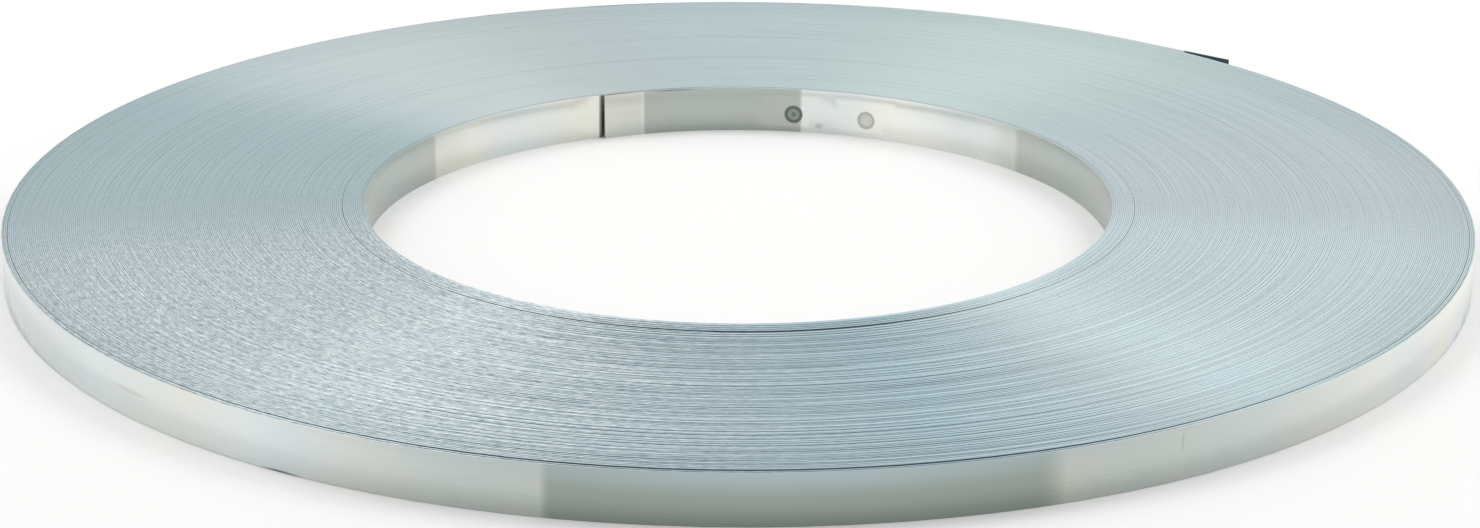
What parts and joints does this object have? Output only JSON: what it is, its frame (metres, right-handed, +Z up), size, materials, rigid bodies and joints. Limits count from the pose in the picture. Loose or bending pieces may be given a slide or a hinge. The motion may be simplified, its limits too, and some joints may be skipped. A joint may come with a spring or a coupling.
{
  "type": "ribbon-wound steel strip coil",
  "caption": "Flat ring-shaped coil of narrow steel strip, wound turn upon turn round an open bore, lying on its end as stock for strapping.",
  "frame": {"origin": "on the coil's axis, in the plane of the floor that it lies on", "axes": "+Z up along the coil's axis; +Y towards the back of the picture, where the strip's two ends lie; +X to the right"},
  "size_m": [0.391, 0.3912, 0.0132],
  "materials": {
    "strip_steel": "cold-rolled, satin, with slit edges"
  },
  "bodies": {
    "root": {"strip_coil": "strip_steel"}
  },
  "joints": []
}
